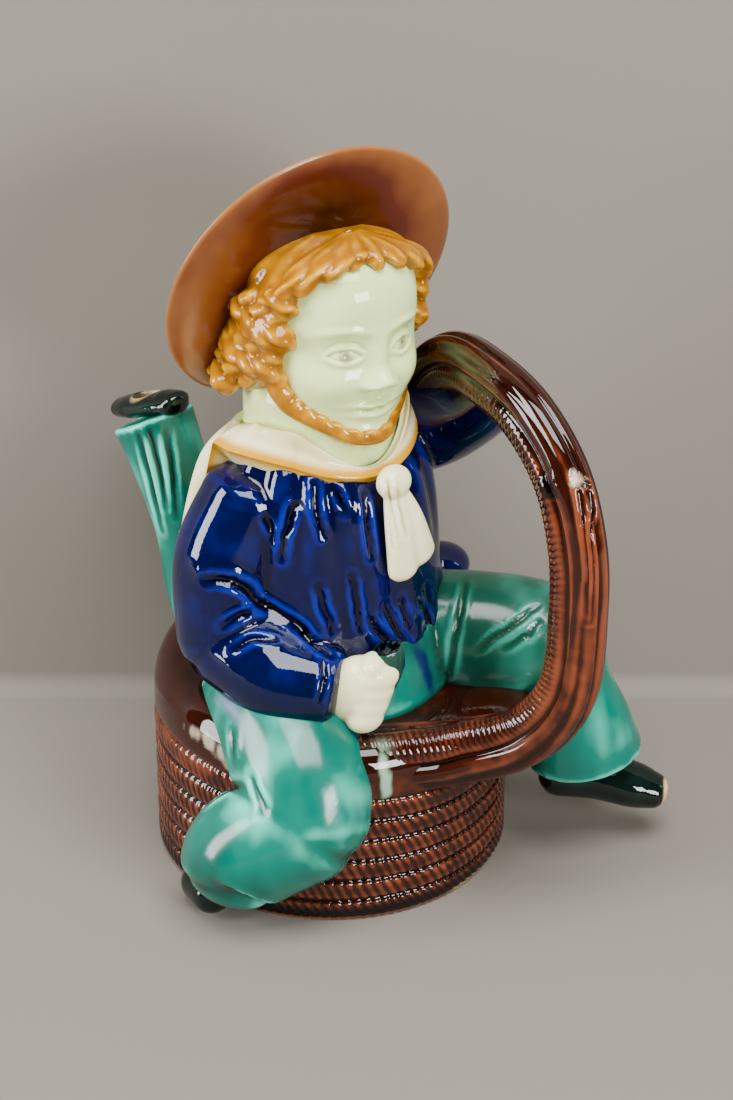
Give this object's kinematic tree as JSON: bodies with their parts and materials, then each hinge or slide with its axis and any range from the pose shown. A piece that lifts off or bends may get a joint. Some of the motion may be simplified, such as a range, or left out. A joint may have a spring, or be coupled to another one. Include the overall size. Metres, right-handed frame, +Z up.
{
  "type": "figural teapot",
  "caption": "Glazed earthenware teapot shaped as a sailor seated on a coil of rope, with a leg-shaped spout behind, a rope handle in front and a lift-off head as its lid.",
  "frame": {"origin": "centre of the coil's flat underside, on which the teapot stands", "axes": "+Z up through the neck, the sailor faces -Y, his left is +X, and the spout is at +Y"},
  "size_m": [0.1615, 0.2174, 0.2549],
  "materials": {
    "glazed_earthenware_body": "thick glossy lead glaze over earthenware, in blue, green, brown and cream",
    "glazed_earthenware_lid": "thick glossy lead glaze over earthenware, in pale green-white, amber and brown"
  },
  "bodies": {
    "root": {"teapot_body": "glazed_earthenware_body", "head_lid": "glazed_earthenware_lid"}
  },
  "joints": []
}
